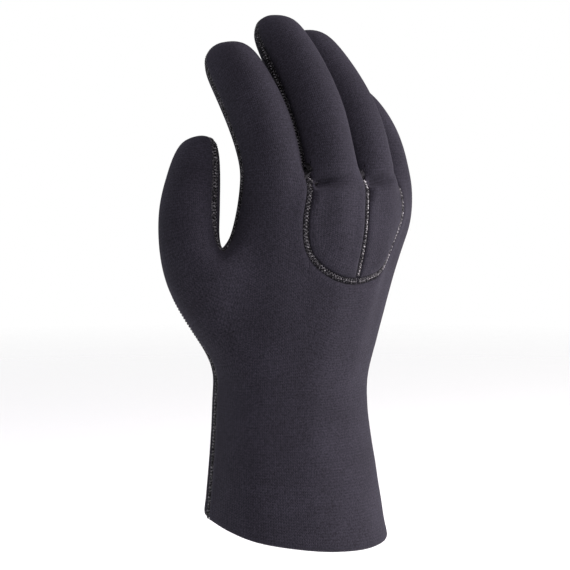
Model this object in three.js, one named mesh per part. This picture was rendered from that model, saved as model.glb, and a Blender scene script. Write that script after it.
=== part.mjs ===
// A five-finger diving glove for the right hand, sewn from thick neoprene sheet and shown as it is
// worn: fingers up along +Z, back of the hand towards -Y, palm towards +Y and thumb towards -X.
// Units are millimetres. The origin is the middle of the hem, where the hand goes in.
//
// One cage of four-sided faces describes the outside of the glove: a tube of 20 columns for cuff and
// hand, which opens into tubes of 8 columns for the fingers and, through its thumb side, the thumb.
// The cage is rounded once by Catmull-Clark subdivision. Its faces belong to four sewn panels, and
// each panel becomes one closed solid: outer face, inner face one wall further in, and cut edges.

import * as THREE from "three";

// The sheet and the seams
const WALL = 5;
const SEAM_GAP = 0.32;

// Heights along the arm, measured from the middle of the hem
const CUFF_LENGTH = 68;
const HAND_LENGTH = 95;

// Outer widths, thumb side to little finger side, and depths, back to palm
const HEM_WIDTH = 99;
const HEM_DEPTH = 70;
const WRIST_WIDTH = 82;
const WRIST_DEPTH = 57;

// How far the wrist and the hand stand off the hem's middle, and how obliquely the hem is cut
const WRIST_SHIFT_SIDE = -4;
const HAND_SHIFT_SIDE = 12.8;
const HAND_SHIFT_BACK = 12;
const HEM_RISE_TO_THUMB = 5;
const HEM_RISE_TO_PALM = 7;

// The finger gaps: their clearance, and how much higher they stand for each finger nearer the thumb
const FINGER_CLEARANCE = 1.6;
const GAP_STEP = 2;

// How far the back of the hand stands out between two fingers, as a share of what it does over
// them: below the knuckles, and in the finger gaps themselves
const VALLEY_BELOW_KNUCKLES = 0.93;
const VALLEY_IN_GAPS = 0.68;

// The knuckle panels dip below the finger gaps in a U
const KNUCKLE_DIP = 22;

// One row for each ring of columns round the cuff, from hem to wrist. Height is a share of the
// cuff's length, size goes from the hem's size to the wrist's, and hem is the share of its slope.
const CUFF_ROWS = [
  { height: 0, size: 0, hem: 1 },
  { height: 0.34, size: 0.46, hem: 0.45 },
  { height: 0.68, size: 0.84, hem: 0.1 },
  { height: 1, size: 1, hem: 0 },
];

// One row for each ring round the hand, from above the wrist to the finger gaps. Height is a share
// of the hand's length, shape goes from the wrist's outline to the knuckles', with a value of its
// own in the middle of the fuller palm, dip is a share of the knuckle dip, and step of the
// difference in height between the finger gaps.
const HAND_ROWS = [
  { height: 0.15, shape: 0.14, palmShape: 0.06, dip: 0.25, step: 0 },
  { height: 0.59, shape: 0.7, palmShape: 0.38, dip: 1, step: 0.1 },
  { height: 0.8, shape: 0.95, palmShape: 0.64, dip: 0.34, step: 0.7 },
];

// The thumb comes out between the first and the third row of the hand, and the knuckle panels begin
// at the second.
const FIRST_HAND_ROW = CUFF_ROWS.length;
const THUMB_ROWS = { bottom: FIRST_HAND_ROW, middle: FIRST_HAND_ROW + 1, top: FIRST_HAND_ROW + 2 };
const KNUCKLE_ROWS = { bottom: FIRST_HAND_ROW + 1, top: FIRST_HAND_ROW + HAND_ROWS.length };

// One row for each column round the tube. The angle is measured from the middle of the back towards
// the little finger, in degrees. Lift is the share of the knuckle dip by which the column rises.
const TUBE_COLUMNS = [
  { name: "back0", angle: -66, lift: 0.05 },
  { name: "back1", angle: -42, lift: 0.35 },
  { name: "back2", angle: -17, lift: 1 },
  { name: "back3", angle: -4, lift: 0 },
  { name: "back4", angle: 9, lift: 0 },
  { name: "back5", angle: 21, lift: 0 },
  { name: "back6", angle: 36, lift: 0.85 },
  { name: "back7", angle: 53, lift: 0.45 },
  { name: "back8", angle: 72, lift: 0 },
  { name: "littleSide", angle: 103, lift: 0 },
  { name: "palm8", angle: 126, lift: 0 },
  { name: "palm7", angle: 136, lift: 0 },
  { name: "palm6", angle: 145, lift: 0 },
  { name: "palm5", angle: 159, lift: 0 },
  { name: "palm4", angle: 174, lift: 0 },
  { name: "palm3", angle: 188, lift: 0 },
  { name: "palm2", angle: 203, lift: 0 },
  { name: "palm1", angle: 214, lift: -0.2 },
  { name: "palm0", angle: 224, lift: -0.1 },
  { name: "thumbSide", angle: 244, lift: -0.3 },
];
const LITTLE_SIDE = TUBE_COLUMNS.findIndex((column) => column.name === "littleSide");
const THUMB_SIDE = TUBE_COLUMNS.findIndex((column) => column.name === "thumbSide");

// One row for each digit. Lengths and widths in millimetres. Lean is the angle from the vertical
// towards the little finger and curl the angle towards the palm, evenly spaced from root to tip.
// Turn is the way the digit's back faces at its root, from straight back towards the thumb side, and
// twist how much further it turns that way from root to tip. Step is the way from the finger before
// it to this one, from straight sideways towards the palm. Corner and reach say how far the pinched
// end of the seams stands towards the palm and out beyond the length, as shares of the width.
const DIGITS = {
  thumb: {
    length: 88.5,
    width: 28,
    lean: [-87, -25, 14, 20, 27],
    curl: [16, 14, 14],
    turn: 12,
    twist: [0, 62, 62],
    corner: 0.2,
    reach: 0.1,
  },
  index: {
    length: 75,
    width: 29,
    lean: [-1, -1],
    curl: [4, 38, 46],
    turn: 24,
    twist: [0, 0],
    step: 0,
    corner: 0.34,
    reach: 0.5,
  },
  middle: {
    length: 92,
    width: 28,
    lean: [1, -2],
    curl: [3, 37, 44],
    turn: 10,
    twist: [0, 0],
    step: -16,
    corner: 0.24,
    reach: 0.42,
  },
  ring: {
    length: 90,
    width: 26,
    lean: [0, -5],
    curl: [5, 40, 48],
    turn: -16,
    twist: [0, 0],
    step: 8,
    corner: 0.3,
    reach: 0.25,
  },
  little: {
    length: 58,
    width: 22.5,
    lean: [1, -4],
    curl: [6, 40, 50],
    turn: -31,
    twist: [0, 0],
    step: 34,
    corner: 0.25,
    reach: 0.15,
  },
};

// The panel that covers the back of each digit
const DIGIT_PANELS = {
  thumb: "back_panel",
  index: "back_panel",
  middle: "middle_panel",
  ring: "ring_panel",
  little: "back_panel",
};
const FINGERS = ["index", "middle", "ring", "little"];

// One row for each ring of a digit. Along is a share of its length, girth of its width, flat the
// depth's share of the girth, and side the angle of the side seams from the middle of the back.
// Inner is the share of the radius that is kept on the side towards the little finger.
const THUMB_RINGS = [
  { along: 0.21, girth: 1.46, flat: 0.84, side: 92, inner: 0.58 },
  { along: 0.42, girth: 1.15, flat: 0.92, side: 94, inner: 0.86 },
  { along: 0.62, girth: 1.02, flat: 0.96, side: 98, inner: 1 },
  { along: 0.82, girth: 0.91, flat: 0.88, side: 98, inner: 0.98 },
  { along: 0.96, girth: 0.68, flat: 0.72, side: 98, inner: 0.94 },
];
const FINGER_RINGS = [
  { along: 0.15, girth: 0.97, flat: 1, side: 98, inner: 1 },
  { along: 0.38, girth: 1, flat: 1, side: 98, inner: 1 },
  { along: 0.62, girth: 0.97, flat: 0.98, side: 98, inner: 1 },
  { along: 0.8, girth: 0.93, flat: 0.96, side: 98, inner: 1 },
  { along: 0.97, girth: 0.84, flat: 0.8, side: 98, inner: 0.97 },
];

// Material finishes
const FINISHES = {
  back_panel: { color: 0x2a2830, roughness: 0.85, metalness: 0 },
  middle_panel: { color: 0x2c2a31, roughness: 0.85, metalness: 0 },
  ring_panel: { color: 0x2c2a31, roughness: 0.85, metalness: 0 },
  palm_panel: { color: 0x1d1c22, roughness: 0.9, metalness: 0 },
};

// How many short steps a digit's middle line is added up from
const CENTRE_STEPS = 40;

const radians = THREE.MathUtils.degToRad;
const mix = THREE.MathUtils.lerp;

// The value at a share of the way along evenly spaced values
function mixAlong(values, share) {
  const at = share * (values.length - 1);
  const before = Math.min(Math.floor(at), values.length - 2);
  return mix(values[before], values[before + 1], at - before);
}

// A ring of n cage points at radius 1 rounds to this smaller radius, so cages are made larger.
function roundingLoss(n) {
  return (4 + 2 * Math.cos((2 * Math.PI) / n)) / 6;
}

// The cage: points, and faces of four point numbers with the panel that each belongs to
function emptyCage() {
  return { points: [], faces: [] };
}

function addPoint(cage, point) {
  cage.points.push(point);
  return cage.points.length - 1;
}

function addFace(cage, corners, panel) {
  cage.faces.push({ corners, panel });
}

// A ring point of the cuff, as an ellipse between the hem's size and the wrist's
function cuffPoint({ height, size, hem }, { angle }) {
  const grow = 0.5 / roundingLoss(TUBE_COLUMNS.length);
  const across = Math.sin(radians(angle));
  const towardsPalm = -Math.cos(radians(angle));
  const rise = HEM_RISE_TO_PALM * towardsPalm - HEM_RISE_TO_THUMB * across;
  return new THREE.Vector3(
    across * mix(HEM_WIDTH, WRIST_WIDTH, size) * grow + size * WRIST_SHIFT_SIDE,
    towardsPalm * mix(HEM_DEPTH, WRIST_DEPTH, size) * grow,
    height * CUFF_LENGTH + hem * rise,
  );
}

// Where the fingers stand side by side on their arch, seen from above, around its own middle
function fingerPlaces() {
  const places = [];
  let here = new THREE.Vector3();
  let before = null;
  for (const name of FINGERS) {
    const digit = DIGITS[name];
    if (before) {
      const distance = (before.width + digit.width) / 2 + FINGER_CLEARANCE;
      const step = radians(digit.step);
      const direction = new THREE.Vector3(Math.cos(step), Math.sin(step), 0);
      here = here.clone().addScaledVector(direction, distance);
    }
    places.push(here);
    before = digit;
  }
  const middle = meanOf([places[0], places[FINGERS.length - 1]]);
  const arch = new THREE.Vector3(HAND_SHIFT_SIDE, -HAND_SHIFT_BACK, 0).sub(middle);
  return places.map((place) => place.clone().add(arch));
}

// The direction that is an angle away from a digit's back, seen from above
function facing(turn, angle) {
  const direction = radians(angle - turn);
  return new THREE.Vector3(Math.sin(direction), -Math.cos(direction), 0);
}

// The ring round all four fingers. Valley is how far it stands out between them.
function knuckleRing(valley) {
  const grow = 0.5 / roundingLoss(8);
  const places = fingerPlaces();
  const ring = new Array(TUBE_COLUMNS.length);
  const at = (finger, angle) => {
    const { width, turn } = DIGITS[FINGERS[finger]];
    return places[finger].clone().addScaledVector(facing(turn, angle), width * grow);
  };
  const last = FINGERS.length - 1;
  for (let finger = 0; finger <= last; finger++) {
    ring[2 * finger + 1] = at(finger, 0);
    ring[THUMB_SIDE - 2 - 2 * finger] = at(finger, 180);
    if (finger === last) break;
    const [one, other] = [DIGITS[FINGERS[finger]], DIGITS[FINGERS[finger + 1]]];
    const middle = meanOf([places[finger], places[finger + 1]]);
    const reach = valley * grow * mix(one.width, other.width, 0.5);
    const back = facing(mix(one.turn, other.turn, 0.5), 0);
    ring[2 * finger + 2] = middle.clone().addScaledVector(back, reach);
    ring[THUMB_SIDE - 3 - 2 * finger] = middle.clone().addScaledVector(back, -reach);
  }
  const { side } = FINGER_RINGS[0];
  ring[THUMB_SIDE] = at(0, -side);
  ring[0] = at(0, -side / 2);
  ring[THUMB_SIDE - 1] = at(0, -(side + 180) / 2);
  ring[LITTLE_SIDE] = at(last, side);
  ring[LITTLE_SIDE - 1] = at(last, side / 2);
  ring[LITTLE_SIDE + 1] = at(last, (side + 180) / 2);
  return ring;
}

// How many finger gaps a column stands from the middle one, less than 0 towards the thumb
function gapsFromMiddle(column) {
  const back = column > LITTLE_SIDE ? THUMB_SIDE - 1 - column : column;
  if (column === LITTLE_SIDE) return 2;
  if (column === THUMB_SIDE) return -2;
  return back / 2 - 2;
}

// The ring of points at a row of the hand, between the wrist's outline and the knuckles'
function handRow({ height, shape, palmShape, dip, step }) {
  const wrist = CUFF_ROWS[CUFF_ROWS.length - 1];
  const knuckles = knuckleRing(VALLEY_BELOW_KNUCKLES);
  return TUBE_COLUMNS.map((column, c) => {
    const palmShare = Math.max(0, -Math.cos(radians(column.angle)));
    const point = cuffPoint(wrist, column).lerp(knuckles[c], mix(shape, palmShape, palmShare));
    const lift = dip * column.lift * KNUCKLE_DIP - step * gapsFromMiddle(c) * GAP_STEP;
    return point.setZ(CUFF_LENGTH + height * HAND_LENGTH + lift);
  });
}

// The ring of points in the finger gaps, where the fingers begin
function gapRow() {
  return knuckleRing(VALLEY_IN_GAPS).map((point, c) =>
    point.setZ(CUFF_LENGTH + HAND_LENGTH - gapsFromMiddle(c) * GAP_STEP),
  );
}

// The panel of the tube's face above a row and after a column
function tubePanel(row, column) {
  const onPalm = column >= LITTLE_SIDE && column < THUMB_SIDE;
  if (onPalm) return "palm_panel";
  const atKnuckles = row >= KNUCKLE_ROWS.bottom && row < KNUCKLE_ROWS.top;
  if (atKnuckles && (column === 2 || column === 3)) return DIGIT_PANELS.middle;
  if (atKnuckles && (column === 4 || column === 5)) return DIGIT_PANELS.ring;
  return "back_panel";
}

// Whether the tube's face above a row and after a column is left out for the thumb
function isThumbHole(row, column) {
  const atThumb = row >= THUMB_ROWS.bottom && row < THUMB_ROWS.top;
  return atThumb && (column === THUMB_SIDE || column === THUMB_SIDE - 1);
}

function addTube(cage) {
  const count = TUBE_COLUMNS.length;
  const isHoleMiddle = (row, column) => row === THUMB_ROWS.middle && column === THUMB_SIDE;
  const rings = [
    ...CUFF_ROWS.map((row) => TUBE_COLUMNS.map((column) => cuffPoint(row, column))),
    ...HAND_ROWS.map(handRow),
    gapRow(),
  ];
  const rows = rings.map((ring, r) =>
    ring.map((point, c) => (isHoleMiddle(r, c) ? null : addPoint(cage, point))),
  );
  for (let r = 0; r + 1 < rows.length; r++) {
    for (let c = 0; c < count; c++) {
      if (isThumbHole(r, c)) continue;
      const next = (c + 1) % count;
      addFace(cage, [rows[r][c], rows[r][next], rows[r + 1][next], rows[r + 1][c]], tubePanel(r, c));
    }
  }
  return rows;
}

// The eight points of a digit's root, in the order back left, back middle, back right, side right,
// palm right, palm middle, palm left and side left, seen from the back with the tip up
function thumbRoot(rows) {
  const { bottom, middle, top } = THUMB_ROWS;
  const back = 0;
  const palm = THUMB_SIDE - 1;
  return [
    rows[bottom][back],
    rows[middle][back],
    rows[top][back],
    rows[top][THUMB_SIDE],
    rows[top][palm],
    rows[middle][palm],
    rows[bottom][palm],
    rows[bottom][THUMB_SIDE],
  ];
}

function fingerRoot(ring, gaps, finger) {
  const left = 2 * finger;
  const palmSide = (column) => ring[THUMB_SIDE - 1 - column];
  return [
    ring[left],
    ring[left + 1],
    ring[left + 2],
    gaps[finger + 1],
    palmSide(left + 2),
    palmSide(left + 1),
    palmSide(left),
    gaps[finger],
  ];
}

// The points between the back and the palm in the three finger gaps, and the two outer sides
function addFingerGaps(cage, ring) {
  const gaps = [ring[THUMB_SIDE]];
  for (let finger = 1; finger < FINGERS.length; finger++) {
    const back = cage.points[ring[2 * finger]];
    const palm = cage.points[ring[THUMB_SIDE - 1 - 2 * finger]];
    gaps.push(addPoint(cage, back.clone().lerp(palm, 0.5)));
  }
  gaps.push(ring[LITTLE_SIDE]);
  return gaps;
}

// The way a digit points at a share of its length
function digitDirection(digit, share) {
  const lean = radians(mixAlong(digit.lean, share));
  const curl = radians(mixAlong(digit.curl, share));
  return new THREE.Vector3(Math.sin(lean), Math.cos(lean) * Math.sin(curl), Math.cos(lean) * Math.cos(curl));
}

// The middle of a digit at a share of its length, by adding up short steps from its root
function digitCentre(digit, root, share) {
  const centre = root.clone();
  for (let i = 0; i < CENTRE_STEPS; i++) {
    const at = (share * (i + 0.5)) / CENTRE_STEPS;
    centre.addScaledVector(digitDirection(digit, at), (share * digit.length) / CENTRE_STEPS);
  }
  return centre;
}

// The eight directions round a digit's ring, in the order of its root, as angles from its back
function ringAngles(side) {
  return [-side / 2, 0, side / 2, side, (side + 180) / 2, 180, -(side + 180) / 2, -side];
}

// A digit's back and the way across it, turned from the root's as the digit itself turns
function digitFrame(digit, share) {
  const root = digitDirection(digit, 0);
  const here = digitDirection(digit, share);
  const back = facing(digit.turn, 0);
  back.addScaledVector(root, -back.dot(root)).normalize();
  back.applyQuaternion(new THREE.Quaternion().setFromUnitVectors(root, here));
  back.applyAxisAngle(here, -radians(mixAlong(digit.twist, share)));
  return { back, across: here.cross(back) };
}

// The points of one ring of a digit
function digitRing(digit, root, { along, girth, flat, side, inner }) {
  const middle = digitCentre(digit, root, along);
  const { across, back } = digitFrame(digit, along);
  const radius = (girth * digit.width * 0.5) / roundingLoss(8);
  return ringAngles(side).map((degrees) => {
    const sideways = radius * Math.sin(radians(degrees));
    const point = middle.clone().addScaledVector(across, sideways > 0 ? inner * sideways : sideways);
    return point.addScaledVector(back, radius * flat * Math.cos(radians(degrees)));
  });
}

// Adds a digit: its rings of faces up from its root, and the pinched corner at its tip
function addDigit(cage, name, rings, root) {
  const digit = DIGITS[name];
  const panel = DIGIT_PANELS[name];
  const centre = root.reduce((sum, i) => sum.add(cage.points[i]), new THREE.Vector3());
  centre.divideScalar(root.length);
  let below = root;
  for (const row of rings) {
    const ring = digitRing(digit, centre, row).map((point) => addPoint(cage, point));
    for (let i = 0; i < root.length; i++) {
      const next = (i + 1) % root.length;
      const onPalm = i >= 3 && i < 7;
      addFace(cage, [below[i], below[next], ring[next], ring[i]], onPalm ? "palm_panel" : panel);
    }
    below = ring;
  }
  const end = digitCentre(digit, centre, 1);
  end.addScaledVector(digitFrame(digit, 1).back, -digit.corner * digit.width);
  const tip = addPoint(cage, end.addScaledVector(digitDirection(digit, 1), digit.reach * digit.width));
  const [backLeft, backMiddle, backRight, right, palmRight, palmMiddle, palmLeft, left] = below;
  addFace(cage, [left, backLeft, backMiddle, tip], panel);
  addFace(cage, [backMiddle, backRight, right, tip], panel);
  addFace(cage, [right, palmRight, palmMiddle, tip], "palm_panel");
  addFace(cage, [palmMiddle, palmLeft, left, tip], "palm_panel");
}

function gloveCage() {
  const cage = emptyCage();
  const rows = addTube(cage);
  const fingerRing = rows[rows.length - 1];
  const gaps = addFingerGaps(cage, fingerRing);
  FINGERS.forEach((name, i) =>
    addDigit(cage, name, FINGER_RINGS, fingerRoot(fingerRing, gaps, i)),
  );
  addDigit(cage, "thumb", THUMB_RINGS, thumbRoot(rows));
  return cage;
}

const edgeKey = (a, b) => (a < b ? a + "," + b : b + "," + a);

// Each edge's two ends and the numbers of the faces on it
function edgesOf(cage) {
  const edges = new Map();
  cage.faces.forEach(({ corners }, f) => {
    corners.forEach((a, i) => {
      const b = corners[(i + 1) % corners.length];
      const key = edgeKey(a, b);
      if (!edges.has(key)) edges.set(key, { ends: [a, b], faces: [] });
      edges.get(key).faces.push(f);
    });
  });
  return edges;
}

function meanOf(points) {
  return points.reduce((sum, p) => sum.add(p), new THREE.Vector3()).divideScalar(points.length);
}

// One step of Catmull-Clark subdivision, with the open hem as a smooth curve
function subdivide(cage) {
  const { points, faces } = cage;
  const edges = edgesOf(cage);
  const made = emptyCage();
  const facePoints = faces.map(({ corners }) => meanOf(corners.map((c) => points[c])));
  const around = points.map(() => ({ faces: [], middles: [], rim: [] }));
  faces.forEach(({ corners }, f) => corners.forEach((c) => around[c].faces.push(facePoints[f])));
  for (const edge of edges.values()) {
    const [a, b] = edge.ends.map((i) => points[i]);
    const middle = meanOf([a, b]);
    const open = edge.faces.length === 1;
    edge.ends.forEach((i) => {
      around[i].middles.push(middle);
      if (open) around[i].rim.push(middle);
    });
    edge.point = open ? middle : meanOf([a, b, ...edge.faces.map((f) => facePoints[f])]);
  }
  points.forEach((p, i) => {
    const n = around[i].faces.length;
    if (around[i].rim.length) return addPoint(made, meanOf([p, p, ...around[i].rim]));
    const moved = meanOf(around[i].faces).addScaledVector(meanOf(around[i].middles), 2);
    addPoint(made, moved.addScaledVector(p, n - 3).divideScalar(n));
  });
  for (const edge of edges.values()) edge.number = addPoint(made, edge.point);
  faces.forEach(({ corners, panel }, f) => {
    const middle = addPoint(made, facePoints[f]);
    corners.forEach((c, i) => {
      const next = corners[(i + 1) % corners.length];
      const last = corners[(i + corners.length - 1) % corners.length];
      const onwards = edges.get(edgeKey(c, next)).number;
      const backwards = edges.get(edgeKey(last, c)).number;
      addFace(made, [c, onwards, middle, backwards], panel);
    });
  });
  return made;
}

// Moves each point to where endless subdivision would take it
function settle(cage) {
  const around = cage.points.map(() => ({ near: new Map(), far: [], open: new Set() }));
  for (const { ends, faces } of edgesOf(cage).values()) {
    const [a, b] = ends;
    around[a].near.set(b, cage.points[b]);
    around[b].near.set(a, cage.points[a]);
    if (faces.length === 1) {
      around[a].open.add(b);
      around[b].open.add(a);
    }
  }
  cage.faces.forEach(({ corners }) =>
    corners.forEach((c, i) => around[c].far.push(cage.points[corners[(i + 2) % corners.length]])),
  );
  const settled = cage.points.map((p, i) => {
    const { near, far, open } = around[i];
    if (open.size) return meanOf([p, p, p, p, ...[...open].map((j) => cage.points[j])]);
    const n = near.size;
    const sum = p.clone().multiplyScalar(n * n);
    near.forEach((q) => sum.addScaledVector(q, 4));
    far.forEach((q) => sum.add(q));
    return sum.divideScalar(n * (n + 5));
  });
  return { points: settled, faces: cage.faces };
}

// The outward direction at each point, weighted by the angles of its faces
function normalsOf(cage) {
  const normals = cage.points.map(() => new THREE.Vector3());
  for (const { corners } of cage.faces) {
    corners.forEach((c, i) => {
      const here = cage.points[c];
      const next = cage.points[corners[(i + 1) % 4]].clone().sub(here);
      const last = cage.points[corners[(i + 3) % 4]].clone().sub(here);
      const turn = next.angleTo(last);
      normals[c].addScaledVector(next.cross(last).normalize(), turn);
    });
  }
  return normals.map((n) => n.normalize());
}

// How far each point on a panel's edge draws back from the seam: along the sheet, into the panel
function drawBack(cage, faces, normals) {
  const rim = new Map();
  const own = { points: cage.points, faces };
  for (const { ends, faces: beside } of edgesOf(own).values()) {
    if (beside.length > 1) continue;
    const [a, b] = ends;
    const middle = meanOf(faces[beside[0]].corners.map((c) => cage.points[c]));
    for (const [here, there] of [[a, b], [b, a]]) {
      const seam = cage.points[there].clone().sub(cage.points[here]).normalize();
      const inward = middle.clone().sub(cage.points[here]);
      inward.addScaledVector(seam, -inward.dot(seam));
      inward.addScaledVector(normals[here], -inward.dot(normals[here])).normalize();
      if (!rim.has(here)) rim.set(here, []);
      rim.get(here).push(inward);
    }
  }
  const moves = new Map();
  rim.forEach((inwards, i) => {
    const mean = meanOf(inwards);
    moves.set(i, mean.multiplyScalar(SEAM_GAP / 2 / Math.max(0.5, mean.lengthSq())));
  });
  return moves;
}

// A panel's outer and inner points, and each cage point's number among them
function panelPoints(cage, faces, normals) {
  const moves = drawBack(cage, faces, normals);
  const numbers = new Map();
  const outer = [];
  const inner = [];
  for (const c of faces.flatMap(({ corners }) => corners)) {
    if (numbers.has(c)) continue;
    numbers.set(c, outer.length);
    const point = cage.points[c].clone().add(moves.get(c) ?? new THREE.Vector3());
    outer.push(point);
    inner.push(point.clone().addScaledVector(normals[c], -WALL));
  }
  return { numbers, outer, inner };
}

// One panel as a closed solid: outer face, inner face and the cut edge between them
function panelGeometry(cage, normals, panel) {
  const faces = cage.faces.filter((face) => face.panel === panel);
  const { numbers, outer, inner } = panelPoints(cage, faces, normals);
  const count = outer.length;
  const triangles = [];
  const addQuad = (a, b, c, d) => triangles.push(a, b, c, a, c, d);
  for (const { corners } of faces) {
    const [a, b, c, d] = corners.map((i) => numbers.get(i));
    addQuad(a, b, c, d);
    addQuad(d + count, c + count, b + count, a + count);
  }
  for (const { ends, faces: beside } of edgesOf({ points: cage.points, faces }).values()) {
    if (beside.length > 1) continue;
    const [a, b] = ends.map((i) => numbers.get(i));
    // The panels on both sides of a seam split its cut faces along the same diagonal.
    if (ends[0] < ends[1]) addQuad(b, a, a + count, b + count);
    else addQuad(a, a + count, b + count, b);
  }
  const geometry = new THREE.BufferGeometry();
  geometry.setAttribute(
    "position",
    new THREE.Float32BufferAttribute([...outer, ...inner].flatMap((p) => p.toArray()), 3),
  );
  geometry.setIndex(triangles);
  geometry.computeVertexNormals();
  return geometry;
}

function buildGlove() {
  const surface = settle(subdivide(gloveCage()));
  const normals = normalsOf(surface);
  const glove = new THREE.Group();
  for (const [panel, finish] of Object.entries(FINISHES)) {
    const geometry = panelGeometry(surface, normals, panel);
    const mesh = new THREE.Mesh(geometry, new THREE.MeshStandardMaterial(finish));
    mesh.name = panel;
    glove.add(mesh);
  }
  return glove;
}

export default buildGlove();
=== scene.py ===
# A five-finger diving glove for the right hand, in thick neoprene faced with knit jersey.
# Units are metres. +Z runs from the hem to the fingertips, -Y is the back of the hand, +Y the palm
# and -X the thumb side. The origin is the middle of the hem, where the hand goes in.
#
# The glove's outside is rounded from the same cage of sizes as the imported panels, finely enough to
# show its seams. It is then parted into its four panels, each one a closed sheet of real thickness,
# and the seams are stitched over along their own lines.

import heapq
import math

import bmesh
import bpy
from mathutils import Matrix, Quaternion, Vector, bvhtree, noise


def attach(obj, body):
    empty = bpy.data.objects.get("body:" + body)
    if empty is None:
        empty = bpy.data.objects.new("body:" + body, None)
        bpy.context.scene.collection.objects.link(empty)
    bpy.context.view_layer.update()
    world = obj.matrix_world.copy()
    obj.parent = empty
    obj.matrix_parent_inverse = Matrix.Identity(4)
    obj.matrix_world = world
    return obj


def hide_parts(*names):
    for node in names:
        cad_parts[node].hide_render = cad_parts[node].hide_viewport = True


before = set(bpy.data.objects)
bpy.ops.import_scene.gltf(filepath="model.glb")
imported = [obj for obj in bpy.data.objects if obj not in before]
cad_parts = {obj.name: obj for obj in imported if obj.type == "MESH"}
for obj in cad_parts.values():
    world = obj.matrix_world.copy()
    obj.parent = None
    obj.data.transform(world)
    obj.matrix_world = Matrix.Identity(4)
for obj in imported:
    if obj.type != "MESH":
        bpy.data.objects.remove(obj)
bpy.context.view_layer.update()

# The sheet, its seams' grooves with the puckers beside them, and how far a seam or hem is felt
WALL = 0.005
SEAM_GAP = 0.00016
SEAM_DEPTH = 0.0011
SEAM_GROOVE_WIDTH = 0.0016
SEAM_PUCKER = 0.00025
SEAM_PUCKER_AT = 2.6 * SEAM_GROOVE_WIDTH
SEAM_PUCKER_WIDTH = 1.5 * SEAM_GROOVE_WIDTH
EDGE_REACH = 0.012
HEM_ROUNDING = 0.0021

# The slack sheet's broad and fine waves: how close they lie, where their noise starts, their height
SLACK_WAVES = [(28, (3.1, 0.4, 7.7), 0.00045), (75, (8.3, 5.2, 1.9), 0.00018)]

# Heights along the arm, measured from the middle of the hem
CUFF_LENGTH = 0.068
HAND_LENGTH = 0.095

# Outer widths, thumb side to little finger side, and depths, back to palm
HEM_WIDTH = 0.099
HEM_DEPTH = 0.070
WRIST_WIDTH = 0.082
WRIST_DEPTH = 0.057

# How far the wrist and the hand stand off the hem's middle, and how obliquely the hem is cut
WRIST_SHIFT_SIDE = -0.004
HAND_SHIFT_SIDE = 0.0128
HAND_SHIFT_BACK = 0.012
HEM_RISE_TO_THUMB = 0.005
HEM_RISE_TO_PALM = 0.007

# The finger gaps, and how far the hand stands out between two fingers, as a share of over them
FINGER_CLEARANCE = 0.0016
GAP_STEP = 0.002
VALLEY_BELOW_KNUCKLES = 0.93
VALLEY_IN_GAPS = 0.68

# How far the knuckle panels dip below the finger gaps
KNUCKLE_DIP = 0.022

# Rings of the cuff: shares of its length, of the way to the wrist's size and of the hem's slope
CUFF_ROWS = [(0, 0, 1), (0.34, 0.46, 0.45), (0.68, 0.84, 0.1), (1, 1, 0)]

# Rings of the hand: share of its length, share of the knuckles' outline at the back and at the palm,
# share of the knuckle dip, and share of the step between the finger gaps
HAND_ROWS = [
    (0.15, 0.14, 0.06, 0.25, 0),
    (0.59, 0.70, 0.38, 1, 0.1),
    (0.80, 0.95, 0.64, 0.34, 0.7),
]
THUMB_ROWS = (4, 5, 6)
KNUCKLE_ROWS = (5, 7)

# Columns round the tube: degrees from the middle of the back, and lift as a share of the knuckle dip
TUBE_COLUMNS = [
    (-66, 0.05), (-42, 0.35), (-17, 1), (-4, 0), (9, 0), (21, 0), (36, 0.85), (53, 0.45), (72, 0),
    (103, 0),
    (126, 0), (136, 0), (145, 0), (159, 0), (174, 0), (188, 0), (203, 0), (214, -0.2), (224, -0.1),
    (244, -0.3),
]
LITTLE_SIDE = 9
THUMB_SIDE = 19

# Each digit: its length and width, its lean, its curl and the twist of its back in degrees from root
# to tip, the turn of its back, the direction of the step to it from the digit before, and how far the
# end of its seams stands towards the palm and out beyond its length, as shares of its width
DIGITS = {
    "thumb": {
        "length": 0.0885, "width": 0.028, "lean": (-87, -25, 14, 20, 27), "curl": (16, 14, 14),
        "twist": (0, 62, 62), "turn": 12, "corner": 0.2, "reach": 0.1,
    },
    "index": {
        "length": 0.075, "width": 0.029, "lean": (-1, -1), "curl": (4, 38, 46),
        "twist": (0, 0), "turn": 24, "step": 0, "corner": 0.34, "reach": 0.5,
    },
    "middle": {
        "length": 0.092, "width": 0.028, "lean": (1, -2), "curl": (3, 37, 44),
        "twist": (0, 0), "turn": 10, "step": -16, "corner": 0.24, "reach": 0.42,
    },
    "ring": {
        "length": 0.090, "width": 0.026, "lean": (0, -5), "curl": (5, 40, 48),
        "twist": (0, 0), "turn": -16, "step": 8, "corner": 0.3, "reach": 0.25,
    },
    "little": {
        "length": 0.058, "width": 0.0225, "lean": (1, -4), "curl": (6, 40, 50),
        "twist": (0, 0), "turn": -31, "step": 34, "corner": 0.25, "reach": 0.15,
    },
}
FINGERS = ["index", "middle", "ring", "little"]
PANELS = ["back_panel", "middle_panel", "ring_panel", "palm_panel"]
DIGIT_PANELS = {"thumb": 0, "index": 0, "middle": 1, "ring": 2, "little": 0}
PALM = 3

# Rings of a digit: share of its length, girth as a share of its width, flatness, degrees of its side
# seams from its back, and the share of the radius that is kept towards the little finger
THUMB_RINGS = [
    (0.21, 1.46, 0.84, 92, 0.58),
    (0.42, 1.15, 0.92, 94, 0.86),
    (0.62, 1.02, 0.96, 98, 1),
    (0.82, 0.91, 0.88, 98, 0.98),
    (0.96, 0.68, 0.72, 98, 0.94),
]
FINGER_RINGS = [
    (0.15, 0.97, 1.00, 98, 1),
    (0.38, 1.00, 1.00, 98, 1),
    (0.62, 0.97, 0.98, 98, 1),
    (0.80, 0.93, 0.96, 98, 1),
    (0.97, 0.84, 0.80, 98, 0.97),
]
CENTRE_STEPS = 40

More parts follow.
